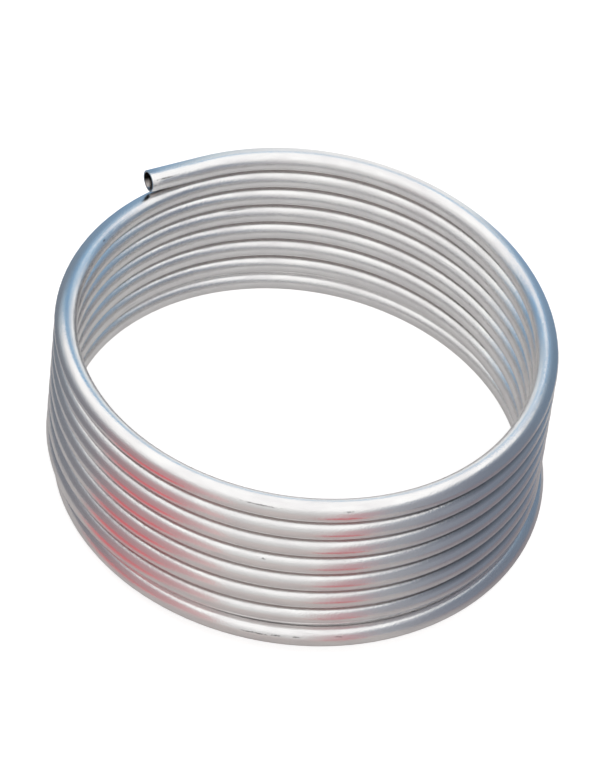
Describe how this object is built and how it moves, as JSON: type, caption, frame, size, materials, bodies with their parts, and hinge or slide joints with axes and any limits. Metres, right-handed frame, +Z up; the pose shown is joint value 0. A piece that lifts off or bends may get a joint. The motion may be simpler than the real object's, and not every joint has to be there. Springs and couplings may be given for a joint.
{
  "type": "aluminium tube coil",
  "caption": "Standing coil of bare round aluminium tube in one layer, turn on turn, with a square-cut open end left straight on top.",
  "frame": {"origin": "the coil's axis, on the surface it stands on", "axes": "+Z up along the coil's axis, -Y the front, with the open end at the back left"},
  "size_m": [0.2141, 0.2153, 0.0853],
  "materials": {
    "tube_coil": "bare drawn tube, satin"
  },
  "bodies": {
    "root": {"tube_coil": "tube_coil"}
  },
  "joints": []
}
